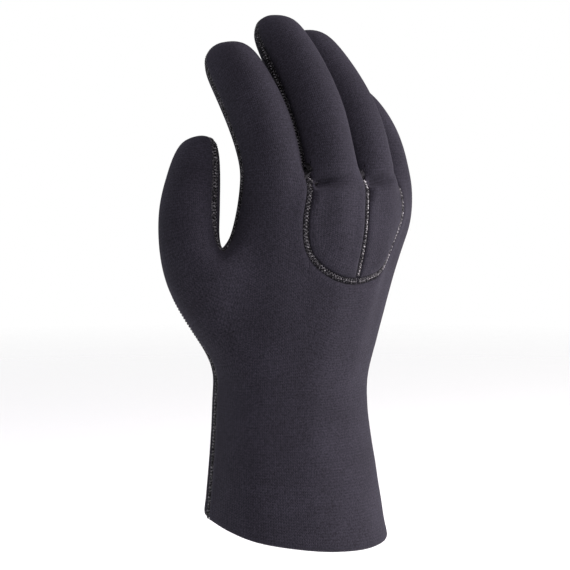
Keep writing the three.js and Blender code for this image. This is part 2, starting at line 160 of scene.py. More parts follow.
# How finely the cage is rounded, and how far the knuckle seam is eased into a smooth U
ROUNDING_LEVELS = 4
SEAM_EASE_STEPS = 60
SEAM_EASE_SHARE = 0.9
SEAM_EASE_REACH = 0.014

# How far the eased U is wider than the cage's, below the height where its arms part from it
U_MIDDLE = Vector((0.012, -0.045, 0.12))
U_DRIFT_FROM = 0.150
U_DRIFT_TO = 0.168
U_DRIFT_LEFT = 0.0032
U_DRIFT_RIGHT = 0.003

# How far the seams on the fingers' thumb sides stand towards the back: it sets in between two shares
# of facing sideways and between two heights, and only past the thumb
SIDE_SEAM_DRIFT = 0.0026
SIDE_SEAM_FACING = (0.3, 0.7)
SIDE_SEAM_HEIGHTS = (0.142, 0.168)
THUMB_BESIDE = -0.05

# The folds where the middle and ring fingers leave the knuckles: their height over the finger gaps,
# how much they climb across the finger, their width, their depth and the bulge below them. They fade
# out across the finger, within its own sides and back, and begin a little way off the seam.
ROOT_CREASE_RISE = 0.0055
ROOT_CREASE_SLOPE = 0.004
ROOT_CREASE_WIDTH = 0.0022
ROOT_CREASE_DEPTH = 0.0046
ROOT_CREASE_BULGE = 0.0012
ROOT_CREASE_FADE = (-0.5, 0.5)
ROOT_CREASE_SIDE = 0.7
ROOT_CREASE_BACK = 0.1
ROOT_CREASE_FROM_SEAM = (0.001, 0.004)

# Knit: the distance between its wales and between its courses
KNIT_WALE = 0.0009
KNIT_COURSE = 0.0012

# Stitching: the length of one crossed stitch, its thread and needle holes, how high it lies over the
# groove, how bare the seams' meeting points stay, also in the finger gaps, which lie above a height,
# and the half widths of its rows along the main seam, round the knuckle panels and between them
STITCH_PITCH = 0.0016
THREAD_RADIUS = 0.0002
MIDDLE_RADIUS = 1.25 * THREAD_RADIUS
HOLE_RADIUS = 2.7 * THREAD_RADIUS
STITCH_LIFT = 0.7 * SEAM_DEPTH
JUNCTION_BARE = 0.0016
GAP_BARE = 0.0055
GAPS_ABOVE = 0.14
MAIN_REACH = 0.0026
KNUCKLE_REACH = 0.0013
BETWEEN_REACH = 0.001

# Colours of the knit, the foam, the threads and the painted shade in the needle holes
BACK_COLOUR = (0.0228, 0.0212, 0.0295)
# The palm's knit is a darker jersey than the back's. It is darkened further as painted shade for
# where the palm faces away from the lights.
PALM_COLOUR_AND_SHADE = (0.0175, 0.0163, 0.022)
LINING_COLOUR = (0.014, 0.0135, 0.015)
FOAM_COLOUR = (0.022, 0.021, 0.025)
HOLE_SHADE_COLOUR = (0.004, 0.004, 0.005)
CROSSED_COLOUR = (0.105, 0.102, 0.11)
MIDDLE_COLOURS = {
    "main": (0.17, 0.166, 0.176),
    "knuckles": (0.3, 0.29, 0.305),
    "between": (0.75, 0.73, 0.75),
}

# The photograph's camera: its distance and direction, what it looks at, and its framing
CAMERA_DISTANCE = 1.2
CAMERA_AZIMUTH = -37
CAMERA_ELEVATION = 6
CAMERA_TARGET = Vector((0, 0, 0.115))
CAMERA_LENS = 159.2
CAMERA_SHIFT = (-0.0193, 0.0053)

# The studio: its floor, which fades out between two shares of its radius, its surround, and its large
# lights: place to the right of the glove, towards the camera and up, then power and colour
FLOOR_HEIGHT = -0.06
FLOOR_RADIUS = 1.4
FLOOR_GLOW = 0.35
FLOOR_FADE = (0.3, 0.95)
SURROUND_LIGHT = 0.115
LIGHT_SIZE = 0.8
LIGHTS = {
    "key": ((1.1, -0.1, 0.35), 22, (1, 0.94, 0.96)),
    "top": ((0.4, 0.8, 1.1), 12.5, (1, 0.93, 0.98)),
    "side": ((-1.2, -0.45, 0.4), 5.5, (0.92, 0.94, 1)),
}


def mix(a, b, share):
    return a + (b - a) * share


def smooth_step(low, high, value):
    t = min(1, max(0, (value - low) / (high - low)))
    return t * t * (3 - 2 * t)


def bell(offset, width):
    return math.exp(-((offset / width) ** 2))


def mix_along(values, share):
    """The value at a share of the way along evenly spaced values."""
    at = share * (len(values) - 1)
    before = min(int(at), len(values) - 2)
    return mix(values[before], values[before + 1], at - before)


def rounding_loss(n):
    """A ring of n cage points at radius 1 rounds to this smaller radius, so cages are made larger."""
    return (4 + 2 * math.cos(2 * math.pi / n)) / 6


def camera_ways():
    """The level ways to the photograph's right and towards its camera."""
    azimuth = math.radians(CAMERA_AZIMUTH)
    across = Vector((math.cos(azimuth), math.sin(azimuth), 0))
    return across, Vector((math.sin(azimuth), -math.cos(azimuth), 0))


class Cage:
    """Points, and faces of four point numbers with their panel and their corners on the knit."""

    def __init__(self):
        self.points = []
        self.faces = []

    def add_point(self, point):
        self.points.append(point)
        return len(self.points) - 1

    def add_face(self, corners, panel, knit):
        self.faces.append((corners, panel, knit))


def cuff_point(row, column):
    """A ring point of the cuff, as an ellipse between the hem's size and the wrist's."""
    height, size, hem = row
    grow = 0.5 / rounding_loss(len(TUBE_COLUMNS))
    across = math.sin(math.radians(column[0]))
    towards_palm = -math.cos(math.radians(column[0]))
    rise = HEM_RISE_TO_PALM * towards_palm - HEM_RISE_TO_THUMB * across
    return Vector((
        across * mix(HEM_WIDTH, WRIST_WIDTH, size) * grow + size * WRIST_SHIFT_SIDE,
        towards_palm * mix(HEM_DEPTH, WRIST_DEPTH, size) * grow,
        height * CUFF_LENGTH + hem * rise,
    ))


def finger_places():
    """Where the fingers stand side by side on their arch, seen from above."""
    here = Vector((0, 0, 0))
    places = [here]
    for before, name in zip(FINGERS, FINGERS[1:]):
        distance = (DIGITS[before]["width"] + DIGITS[name]["width"]) / 2 + FINGER_CLEARANCE
        step = math.radians(DIGITS[name]["step"])
        here = here + distance * Vector((math.cos(step), math.sin(step), 0))
        places.append(here)
    arch = Vector((HAND_SHIFT_SIDE, -HAND_SHIFT_BACK, 0)) - (places[0] + places[-1]) / 2
    return [place + arch for place in places]


def facing(turn, angle):
    """The direction that is an angle away from a digit's back, seen from above."""
    direction = math.radians(angle - turn)
    return Vector((math.sin(direction), -math.cos(direction), 0))


def knuckle_ring(valley):
    """The ring round all four fingers. Valley is how far it stands out between them."""
    grow = 0.5 / rounding_loss(8)
    places = finger_places()
    ring = [None] * len(TUBE_COLUMNS)

    def at(finger, angle):
        digit = DIGITS[FINGERS[finger]]
        return places[finger] + digit["width"] * grow * facing(digit["turn"], angle)

    last = len(FINGERS) - 1
    for finger in range(len(FINGERS)):
        ring[2 * finger + 1] = at(finger, 0)
        ring[THUMB_SIDE - 2 - 2 * finger] = at(finger, 180)
        if finger == last:
            break
        one, other = DIGITS[FINGERS[finger]], DIGITS[FINGERS[finger + 1]]
        middle = (places[finger] + places[finger + 1]) / 2
        reach = valley * grow * mix(one["width"], other["width"], 0.5)
        back = facing(mix(one["turn"], other["turn"], 0.5), 0)
        ring[2 * finger + 2] = middle + back * reach
        ring[THUMB_SIDE - 3 - 2 * finger] = middle - back * reach
    side = FINGER_RINGS[0][3]
    ring[THUMB_SIDE] = at(0, -side)
    ring[0] = at(0, -side / 2)
    ring[THUMB_SIDE - 1] = at(0, -(side + 180) / 2)
    ring[LITTLE_SIDE] = at(last, side)
    ring[LITTLE_SIDE - 1] = at(last, side / 2)
    ring[LITTLE_SIDE + 1] = at(last, (side + 180) / 2)
    return ring


def gaps_from_middle(column):
    """How many finger gaps a column stands from the middle one, less than 0 towards the thumb."""
    if column == LITTLE_SIDE:
        return 2
    if column == THUMB_SIDE:
        return -2
    back = THUMB_SIDE - 1 - column if column > LITTLE_SIDE else column
    return back / 2 - 2


def hand_row(height, shape, palm_shape, dip, step):
    """The ring of points at a row of the hand, between the wrist's outline and the knuckles'."""
    knuckles = knuckle_ring(VALLEY_BELOW_KNUCKLES)
    ring = []
    for c, column in enumerate(TUBE_COLUMNS):
        palm_share = max(0, -math.cos(math.radians(column[0])))
        wrist, share = cuff_point(CUFF_ROWS[-1], column), mix(shape, palm_shape, palm_share)
        point = wrist.lerp(knuckles[c], share)
        lift = dip * column[1] * KNUCKLE_DIP - step * gaps_from_middle(c) * GAP_STEP
        point.z = CUFF_LENGTH + height * HAND_LENGTH + lift
        ring.append(point)
    return ring


def gap_row():
    """The ring of points in the finger gaps, where the fingers begin."""
    ring = knuckle_ring(VALLEY_IN_GAPS)
    for c, point in enumerate(ring):
        point.z = CUFF_LENGTH + HAND_LENGTH - gaps_from_middle(c) * GAP_STEP
    return ring


def tube_panel(row, column):
    """The panel of the tube's face above a row and after a column."""
    if LITTLE_SIDE <= column < THUMB_SIDE:
        return PALM
    if KNUCKLE_ROWS[0] <= row < KNUCKLE_ROWS[1]:
        if column in (2, 3):
            return DIGIT_PANELS["middle"]
        if column in (4, 5):
            return DIGIT_PANELS["ring"]
    return DIGIT_PANELS["index"]


def knit_corners(left, right, low, high):
    return [(left, low), (right, low), (right, high), (left, high)]


def add_tube(cage):
    count = len(TUBE_COLUMNS)
    pitch = (HEM_WIDTH + HEM_DEPTH) * math.pi / 2 / count
    rings = [[cuff_point(row, column) for column in TUBE_COLUMNS] for row in CUFF_ROWS]
    rings += [hand_row(*row) for row in HAND_ROWS]
    rings.append(gap_row())
    bottom, middle, top = THUMB_ROWS
    rows = []
    for r, ring in enumerate(rings):
        is_gap = [r == middle and c == THUMB_SIDE for c in range(count)]
        rows.append([None if gap else cage.add_point(p) for gap, p in zip(is_gap, ring)])
    heights = [ring[0].z for ring in rings]
    for r in range(len(rows) - 1):
        for c in range(count):
            if bottom <= r < top and c in (THUMB_SIDE, THUMB_SIDE - 1):
                continue
            following = (c + 1) % count
            corners = [rows[r][c], rows[r][following], rows[r + 1][following], rows[r + 1][c]]
            knit = knit_corners(c * pitch, (c + 1) * pitch, heights[r], heights[r + 1])
            cage.add_face(corners, tube_panel(r, c), knit)
    return rows


def thumb_root(rows):
    """The eight points of the thumb's root: back left, back middle, back right, side right, palm
    right, palm middle, palm left and side left, seen from the back with the tip up."""
    bottom, middle, top = THUMB_ROWS
    back, side, palm = 0, THUMB_SIDE, THUMB_SIDE - 1
    places = [(bottom, back), (middle, back), (top, back), (top, side)]
    places += [(top, palm), (middle, palm), (bottom, palm), (bottom, side)]
    return [rows[r][c] for r, c in places]


def finger_root(ring, gaps, finger):
    left = 2 * finger
    back = [ring[left + i] for i in range(3)]
    palm = [ring[THUMB_SIDE - 1 - left - i] for i in (2, 1, 0)]
    return [*back, gaps[finger + 1], *palm, gaps[finger]]


def add_finger_gaps(cage, ring):
    """The points between the back and the palm in the three finger gaps, and the two outer sides."""
    gaps = [ring[THUMB_SIDE]]
    for finger in range(1, len(FINGERS)):
        back = cage.points[ring[2 * finger]]
        palm = cage.points[ring[THUMB_SIDE - 1 - 2 * finger]]
        gaps.append(cage.add_point(back.lerp(palm, 0.5)))
    return [*gaps, ring[LITTLE_SIDE]]


def digit_direction(digit, share):
    lean = math.radians(mix_along(digit["lean"], share))
    curl = math.radians(mix_along(digit["curl"], share))
    return Vector((math.sin(lean), math.cos(lean) * math.sin(curl), math.cos(lean) * math.cos(curl)))


def digit_centre(digit, root, share):
    """The middle of a digit at a share of its length, by adding up short steps from its root."""
    centre = root.copy()
    for i in range(CENTRE_STEPS):
        at = share * (i + 0.5) / CENTRE_STEPS
        centre += digit_direction(digit, at) * (share * digit["length"] / CENTRE_STEPS)
    return centre


def digit_frame(digit, share):
    """A digit's back and the way across it, turned from the root's as the digit itself turns."""
    root = digit_direction(digit, 0)
    here = digit_direction(digit, share)
    back = facing(digit["turn"], 0)
    back = (back - root * back.dot(root)).normalized()
    back.rotate(root.rotation_difference(here))
    back.rotate(Quaternion(here, -math.radians(mix_along(digit["twist"], share))))
    return back, here.cross(back)


def digit_ring(digit, root, row):
    along, girth, flat, side, inner = row
    middle = digit_centre(digit, root, along)
    back, across = digit_frame(digit, along)
    radius = girth * digit["width"] * 0.5 / rounding_loss(8)
    half = (side + 180) / 2
    ring = []
    for degrees in (-side / 2, 0, side / 2, side, half, 180, -half, -side):
        angle = math.radians(degrees)
        sideways = radius * math.sin(angle)
        point = middle + across * (inner * sideways if sideways > 0 else sideways)
        ring.append(point + back * (radius * flat * math.cos(angle)))
    return ring


def add_digit(cage, name, rings, root):
    digit, panel = DIGITS[name], DIGIT_PANELS[name]
    centre = sum((cage.points[i] for i in root), Vector()) / len(root)
    pitch = digit["width"] * math.pi / len(root)
    below, low = root, centre.z
    for row in rings:
        ring = [cage.add_point(point) for point in digit_ring(digit, centre, row)]
        high = centre.z + row[0] * digit["length"]
        for i in range(len(root)):
            following = (i + 1) % len(root)
            corners = [below[i], below[following], ring[following], ring[i]]
            knit = knit_corners(i * pitch, (i + 1) * pitch, low, high)
            cage.add_face(corners, PALM if 3 <= i < 7 else panel, knit)
        below, low = ring, high
    end = digit_centre(digit, centre, 1)
    end -= digit_frame(digit, 1)[0] * (digit["corner"] * digit["width"])
    tip = cage.add_point(end + digit_direction(digit, 1) * (digit["reach"] * digit["width"]))
    back_left, back_middle, back_right, right, palm_right, palm_middle, palm_left, left = below
    half = digit["width"] / 2
    knit = knit_corners(0, half, low, low + half)
    cage.add_face([left, back_left, back_middle, tip], panel, knit)
    cage.add_face([back_middle, back_right, right, tip], panel, knit)
    cage.add_face([right, palm_right, palm_middle, tip], PALM, knit)
    cage.add_face([palm_middle, palm_left, left, tip], PALM, knit)


def glove_cage():
    cage = Cage()
    rows = add_tube(cage)
    gaps = add_finger_gaps(cage, rows[-1])
    for i, name in enumerate(FINGERS):
        add_digit(cage, name, FINGER_RINGS, finger_root(rows[-1], gaps, i))
    add_digit(cage, "thumb", THUMB_RINGS, thumb_root(rows))
    return cage


def cage_object(cage):
    """The cage as a mesh, with each face's panel as its material number."""
    mesh = bpy.data.meshes.new("glove_cage")
    mesh.from_pydata(cage.points, [], [corners for corners, _, _ in cage.faces])
    for _ in PANELS:
        mesh.materials.append(None)
    knit = mesh.uv_layers.new(name="knit")
    for polygon, (_, panel, corners) in zip(mesh.polygons, cage.faces):
        polygon.material_index = panel
        for loop, place in zip(polygon.loop_indices, corners):
            knit.data[loop].uv = place
    cage_piece = bpy.data.objects.new("glove_cage", mesh)
    bpy.context.scene.collection.objects.link(cage_piece)
    return cage_piece


def evaluated_mesh(piece):
    """The piece's mesh with its modifiers applied. The piece itself is removed."""
    depsgraph = bpy.context.evaluated_depsgraph_get()
    mesh = bpy.data.meshes.new_from_object(piece.evaluated_get(depsgraph))
    bpy.data.objects.remove(piece)
    return mesh


def rounded_skin():
    """The outside of the whole glove as one fine mesh, with the faces beside each seam split."""
    cage_piece = cage_object(glove_cage())
    rounding = cage_piece.modifiers.new("rounding", "SUBSURF")
    rounding.levels = rounding.render_levels = ROUNDING_LEVELS
    rounding.use_limit_surface = True
    rounding.boundary_smooth = "ALL"
    skin = bmesh.new()
    skin.from_mesh(evaluated_mesh(cage_piece))
    on_edge = {v for e in skin.edges if is_panel_edge(e) for v in e.verts}
    beside = [e for e in skin.edges if len(on_edge.intersection(e.verts)) == 1]
    bmesh.ops.subdivide_edges(skin, edges=beside, cuts=2, use_grid_fill=True)
    skin.normal_update()
    skin.verts.ensure_lookup_table()
    skin.verts.index_update()
    return skin


def is_panel_edge(edge):
    faces = edge.link_faces
    return len(faces) != 2 or faces[0].material_index != faces[1].material_index


def is_knuckle_seam(edge):
    """Whether an edge is part of the U seam of the knuckle panels, or of the seam in its middle."""
    panels = {f.material_index for f in edge.link_faces}
    return len(panels) == 2 and PALM not in panels


def distance_from(skin, starts, reach):
    """For each vertex within reach of the starts: its distance, and the start nearest to it."""
    nearest = {v.index: (0.0, v.index) for v in starts}
    queue = [(0.0, v.index, v.index) for v in starts]
    heapq.heapify(queue)
    while queue:
        distance, here, start = heapq.heappop(queue)
        if nearest[here][0] < distance:
            continue
        for edge in skin.verts[here].link_edges:
            other = edge.other_vert(skin.verts[here])
            far = (other.co - skin.verts[start].co).length
            if far < reach and far < nearest.get(other.index, (reach, None))[0] - 1e-9:
                nearest[other.index] = (far, start)
                heapq.heappush(queue, (far, other.index, start))
    return nearest


def ease_seams(skin):
    """Slides the seams along the surface, and the sheet with them: the knuckle seams until they are a
    smooth U, and the seams on the fingers' thumb sides a little towards the back."""
    skin.verts.ensure_lookup_table()
    surface = bvhtree.BVHTree.FromBMesh(skin)
    seam = {e for e in skin.edges if is_knuckle_seam(e)}
    outline = {e for e in seam if DIGIT_PANELS["index"] in {f.material_index for f in e.link_faces}}
    on_outline = {v.index for e in outline for v in e.verts}
    place = {v.index: v.co.copy() for e in seam for v in e.verts}
    smooth_path(skin, outline, place, set())
    smooth_path(skin, seam - outline, place, on_outline)
    for i, point in place.items():
        place[i] = point + knuckle_drift(point, i in on_outline)
    for edge in skin.edges:
        if len(edge.link_faces) == 2 and is_panel_edge(edge):
            for v in edge.verts:
                if v.index not in place:
                    place[v.index] = v.co + side_drift(v)
    move = {i: place[i] - skin.verts[i].co for i in place}
    new_places = {}
    moved = [skin.verts[i] for i in place]
    for i, (distance, start) in distance_from(skin, moved, SEAM_EASE_REACH).items():
        share = 1 - smooth_step(0, SEAM_EASE_REACH, distance)
        target = skin.verts[i].co + move[start] * share
        new_places[i] = surface.find_nearest(target)[0]
    for i, target in new_places.items():
        skin.verts[i].co = target


def knuckle_drift(point, on_outline):
    """How far the knuckle seams stand off the cage's own lines: the U is a little wider below."""
    across, _ = camera_ways()
    low = 1 - smooth_step(U_DRIFT_FROM, U_DRIFT_TO, point.z)
    if on_outline and (point - U_MIDDLE).dot(across) > 0:
        return across * (low * U_DRIFT_RIGHT)
    return across * (-low * U_DRIFT_LEFT)


def side_drift(vert):
    """How far a finger's seam on the thumb side stands towards the back of the hand."""
    across, near = camera_ways()
    if vert.co.x < THUMB_BESIDE:
        return Vector()
    sideways = smooth_step(*SIDE_SEAM_FACING, -vert.normal.dot(across))
    share = sideways * smooth_step(*SIDE_SEAM_HEIGHTS, vert.co.z)
    along = near - vert.normal * near.dot(vert.normal)
    return along.normalized() * (share * SIDE_SEAM_DRIFT)


def smooth_path(skin, edges, place, held):
    """Evens out the places of a path's vertices, with its ends and the held ones kept."""
    beside = {}
    for edge in edges:
        a, b = (v.index for v in edge.verts)
        beside.setdefault(a, []).append(b)
        beside.setdefault(b, []).append(a)
    free = [i for i, others in beside.items() if len(others) == 2 and i not in held]
    for _ in range(SEAM_EASE_STEPS):
        middles = {i: (place[beside[i][0]] + place[beside[i][1]]) / 2 for i in free}
        for i, middle in middles.items():
            place[i] = place[i].lerp(middle, SEAM_EASE_SHARE)


def soft_forms(point):
    """How far the sheet stands out at a point for its slack: broad and shallow waves."""
    waves = [size * noise.noise(point * many + Vector(start)) for many, start, size in SLACK_WAVES]
    return sum(waves)


def root_crease(point):
    """The fold across the back of the middle and ring fingers, where they leave the knuckles."""
    depth = 0
    for name, place in zip(FINGERS, finger_places()):
        if name not in ("middle", "ring"):
            continue
        digit = DIGITS[name]
        across = (point - place).dot(facing(digit["turn"], 90)) / digit["width"]
        outward = (point - place).dot(facing(digit["turn"], 0)) / digit["width"]
        if abs(across) > ROOT_CREASE_SIDE or outward < ROOT_CREASE_BACK:
            continue
        height = CUFF_LENGTH + HAND_LENGTH + ROOT_CREASE_RISE + across * ROOT_CREASE_SLOPE
        fade = 1 - smooth_step(*ROOT_CREASE_FADE, across)
        fold = bell(point.z - height, ROOT_CREASE_WIDTH)
        bulge = bell(point.z - height + 2.2 * ROOT_CREASE_WIDTH, 2 * ROOT_CREASE_WIDTH)
        depth += fade * (ROOT_CREASE_BULGE * bulge - ROOT_CREASE_DEPTH * fold)
    return depth


def shape_surface(skin):
    """Presses the seams' grooves, the folds and the slack into the skin. Returns the vertices'
    distances from a seam, the plain skin's places and normals, which the inner wall is measured
    from, and the vertices' distances from the hem."""
    skin.verts.ensure_lookup_table()
    plain = [(v.co.copy(), v.normal.copy()) for v in skin.verts]
    seam = {v for e in skin.edges if is_panel_edge(e) and len(e.link_faces) == 2 for v in e.verts}
    hem = {v for e in skin.edges if len(e.link_faces) == 1 for v in e.verts}
    from_seam = {i: d for i, (d, _) in distance_from(skin, seam, EDGE_REACH).items()}
    from_hem = {i: d for i, (d, _) in distance_from(skin, hem, EDGE_REACH).items()}
    for v in skin.verts:
        point, normal = plain[v.index]
        distance = from_seam.get(v.index, EDGE_REACH)
        to_hem = from_hem.get(v.index, EDGE_REACH)
        groove = bell(distance, SEAM_GROOVE_WIDTH)
        pucker = bell(distance - SEAM_PUCKER_AT, SEAM_PUCKER_WIDTH)
        out = smooth_step(0, EDGE_REACH, min(distance, to_hem)) * soft_forms(point)
        if v.link_faces[0].material_index in (DIGIT_PANELS["middle"], DIGIT_PANELS["ring"]):
            out += smooth_step(*ROOT_CREASE_FROM_SEAM, distance) * root_crease(point)
        out += SEAM_PUCKER * pucker - SEAM_DEPTH * groove - rounding_at(to_hem)
        v.co = point + normal * out
    return from_seam, plain, from_hem


def rounding_at(distance):
    """How far a rounded edge has drawn in at a distance from the cut."""
    if distance >= HEM_ROUNDING:
        return 0
    return HEM_ROUNDING - math.sqrt(HEM_ROUNDING**2 - (HEM_ROUNDING - distance) ** 2)


def draw_back(skin, faces, normals):
    """How far each point on a panel's edge draws back along the sheet, from the seam inwards."""
    moves = {}
    own = set(faces)
    for face in faces:
        middle = face.calc_center_median()
        for edge in face.edges:
            if all(f in own for f in edge.link_faces):
                continue
            for here, there in (edge.verts, reversed(edge.verts)):
                normal = normals[here.index][1]
                along = (there.co - here.co).normalized()
                inward = middle - here.co
                inward -= along * inward.dot(along)
                inward -= normal * inward.dot(normal)
                moves.setdefault(here.index, []).append(inward.normalized())
    drawn = {}
    for i, inwards in moves.items():
        mean = sum(inwards, Vector()) / len(inwards)
        drawn[i] = mean * (SEAM_GAP / 2 / max(0.5, mean.length_squared))
    return drawn


def panel_piece(skin, panel, plain, from_seam, from_hem):
    """One panel as a closed sheet: outer face, inner face and the cut edge between them."""
    faces = [f for f in skin.faces if f.material_index == panel]
    moves = draw_back(skin, faces, plain)
    source = skin.loops.layers.uv["knit"]
    made = bmesh.new()
    knit = made.loops.layers.uv.new("knit")
    seam_layer = made.verts.layers.float.new("seam_distance")
    outer, inner = {}, {}
    for i in {v.index for f in faces for v in f.verts}:
        point, normal = plain[i]
        move = moves.get(i, Vector())
        lining = point - normal * (WALL - rounding_at(from_hem.get(i, 1)))
        outer[i] = made.verts.new(skin.verts[i].co + move)
        inner[i] = made.verts.new(lining + move)
        outer[i][seam_layer] = from_seam.get(i, EDGE_REACH)
        inner[i][seam_layer] = EDGE_REACH

    def add_face(verts, places, material):
        face = made.faces.new(verts)
        face.material_index = material
        face.smooth = True
        for loop, place in zip(face.loops, places):
            loop[knit].uv = place

    own = set(faces)
    for face in faces:
        numbers = [v.index for v in face.verts]
        places = [loop[source].uv for loop in face.loops]
        add_face([outer[i] for i in numbers], places, 0)
        add_face([inner[i] for i in reversed(numbers)], list(reversed(places)), 1)
        for loop in face.loops:
            if all(f in own for f in loop.edge.link_faces):
                continue
            a, b = loop.vert.index, loop.link_loop_next.vert.index
            place = loop[source].uv
            add_face([outer[b], outer[a], inner[a], inner[b]], [place] * 4, 2)
    mesh = bpy.data.meshes.new(PANELS[panel] + "_cloth")
    made.to_mesh(mesh)
    made.free()
    return link_piece(mesh)


def link_piece(mesh):
    piece = bpy.data.objects.new(mesh.name, mesh)
    bpy.context.scene.collection.objects.link(piece)
    return piece


def seam_kind(edge):
    """The seam that an edge is part of: main, round the knuckle panels, or between them."""
    panels = {f.material_index for f in edge.link_faces}
    if PALM in panels:
        return "main"
    return "knuckles" if DIGIT_PANELS["index"] in panels else "between"


def seam_lines(skin, kind):
    """The lines that one kind of stitches follows, as edges with the sheet's outward direction."""
    seams = [e for e in skin.edges if is_panel_edge(e) and len(e.link_faces) == 2]
    met = {}
    for edge in seams:
        for v in edge.verts:
            met[v] = met.get(v, 0) + 1
    ends = [(v.co, GAP_BARE if v.co.z > GAPS_ABOVE else JUNCTION_BARE) for v in met if met[v] > 2]
    ends += [(v.co, JUNCTION_BARE) for v in met if v.is_boundary]
    edges = [e for e in seams if seam_kind(e) == kind]
    edges = [e for e in edges if all((e.verts[0].co - end).length > bare for end, bare in ends)]
    numbers = {}
    for edge in edges:
        for v in edge.verts:
            numbers.setdefault(v, len(numbers))
    mesh = bpy.data.meshes.new("seam_lines")
    lifted = [v.co + v.normal * STITCH_LIFT for v in numbers]
    mesh.from_pydata(lifted, [[numbers[v] for v in e.verts] for e in edges], [])
    outward = mesh.attributes.new("outward", "FLOAT_VECTOR", "POINT")
    outward.data.foreach_set("vector", [x for v in numbers for x in v.normal])
    return link_piece(mesh)


def tube_mesh(name, paths, radius, sides):
    """A mesh of short thread tubes, one along each path of points."""
    made = bmesh.new()
    for path in paths:
        rings = []
        for i, point in enumerate(path):
            along = path[min(i + 1, len(path) - 1)] - path[max(i - 1, 0)]
            turn = along.to_track_quat("X", "Z")
            ring = []
            for side in range(sides):
                angle = 2 * math.pi * side / sides
                offset = turn @ Vector((0, math.cos(angle), math.sin(angle)))
                ring.append(made.verts.new(point + offset * radius))
            rings.append(ring)
        for before, ring in zip(rings, rings[1:]):
            for side in range(sides):
                following = (side + 1) % sides
                made.faces.new((before[side], before[following], ring[following], ring[side]))
        made.faces.new(list(reversed(rings[0])))
        made.faces.new(rings[-1])
    bmesh.ops.recalc_face_normals(made, faces=made.faces)
    for face in made.faces:
        face.smooth = True
    mesh = bpy.data.meshes.new(name)
    made.to_mesh(mesh)
    made.free()
    return link_piece(mesh)


def crossed_stitch():
    """One stitch, 1 wide to each side: two threads that cross over the seam and dip at their ends."""
    paths = []
    for way, lift in ((1, 0), (-1, THREAD_RADIUS * 1.3)):
        path = []
        for share in (-1, -0.8, 0, 0.8, 1):
            height = THREAD_RADIUS * (0.9 - 2.4 * abs(share) ** 3) + lift * (1 - abs(share))
            path.append(Vector((share * STITCH_PITCH / 2, way * share, height)))
        paths.append(path)
    return tube_mesh("crossed_stitch", paths, THREAD_RADIUS, 4)


def middle_stitch():
    """The top thread along the middle of the seam, a little aslant, over the crossed ones."""
    path = []
    for share in (-1, -0.5, 0.5, 1):
        height = THREAD_RADIUS * (3.2 - 3 * share**2)
        path.append(Vector((share * STITCH_PITCH * 0.3, share * 0.16, height)))
    return tube_mesh("middle_stitch", [path], MIDDLE_RADIUS, 5)


def needle_holes():
    """A pair of flat dark spots at the two ends of a stitch, 1 away to each side: painted shade where
    the needle's dents are.
    """
    made = bmesh.new()
    for side in (-1, 1):
        hole = bmesh.ops.create_icosphere(made, subdivisions=1, radius=HOLE_RADIUS)["verts"]
        bmesh.ops.scale(made, vec=(1, 1, 0.35), verts=hole)
        bmesh.ops.translate(made, vec=(STITCH_PITCH / 2, side, -THREAD_RADIUS * 0.2), verts=hole)
    for face in made.faces:
        face.smooth = True
    mesh = bpy.data.meshes.new("needle_holes")
    made.to_mesh(mesh)
    made.free()
    return link_piece(mesh)


def stitch_tree():
    """A tree that lays copies of a stitch along the seam lines, square to the sheet."""
    tree = bpy.data.node_groups.new("stitches_along_seam", "GeometryNodeTree")
    face = tree.interface
    face.new_socket("Seam lines", in_out="INPUT", socket_type="NodeSocketGeometry")
    face.new_socket("Stitch", in_out="INPUT", socket_type="NodeSocketObject")
    face.new_socket("Pitch", in_out="INPUT", socket_type="NodeSocketFloat")
    face.new_socket("Reach", in_out="INPUT", socket_type="NodeSocketFloat")
    face.new_socket("Finish", in_out="INPUT", socket_type="NodeSocketMaterial")
    face.new_socket("Stitches", in_out="OUTPUT", socket_type="NodeSocketGeometry")
    node, link = tree.nodes.new, tree.links.new
    given = node("NodeGroupInput")
    curve = node("GeometryNodeMeshToCurve")
    resample = node("GeometryNodeResampleCurve")
    resample.mode = "LENGTH"
    tangent = node("GeometryNodeInputTangent")
    outward = node("GeometryNodeInputNamedAttribute")
    outward.data_type = "FLOAT_VECTOR"
    outward.inputs["Name"].default_value = "outward"
    along = node("FunctionNodeAlignRotationToVector")
    along.axis = "X"
    upright = node("FunctionNodeAlignRotationToVector")
    upright.axis = "Z"
    upright.pivot_axis = "X"
    stitch = node("GeometryNodeObjectInfo")
    copies = node("GeometryNodeInstanceOnPoints")
    spread = node("ShaderNodeCombineXYZ")
    spread.inputs["X"].default_value = spread.inputs["Z"].default_value = 1
    real = node("GeometryNodeRealizeInstances")
    finish = node("GeometryNodeSetMaterial")
    result = node("NodeGroupOutput")
    link(given.outputs["Seam lines"], curve.inputs["Mesh"])
    link(curve.outputs["Curve"], resample.inputs["Curve"])
    link(given.outputs["Pitch"], resample.inputs["Length"])
    link(tangent.outputs["Tangent"], along.inputs["Vector"])
    link(along.outputs["Rotation"], upright.inputs["Rotation"])
    link(outward.outputs["Attribute"], upright.inputs["Vector"])
    link(given.outputs["Stitch"], stitch.inputs["Object"])
    link(resample.outputs["Curve"], copies.inputs["Points"])
    link(stitch.outputs["Geometry"], copies.inputs["Instance"])
    link(upright.outputs["Rotation"], copies.inputs["Rotation"])
    link(given.outputs["Reach"], spread.inputs["Y"])
    link(spread.outputs["Vector"], copies.inputs["Scale"])
    link(copies.outputs["Instances"], real.inputs["Geometry"])
    link(real.outputs["Geometry"], finish.inputs["Geometry"])
    link(given.outputs["Finish"], finish.inputs["Material"])
    link(finish.outputs["Geometry"], result.inputs["Stitches"])
    return tree


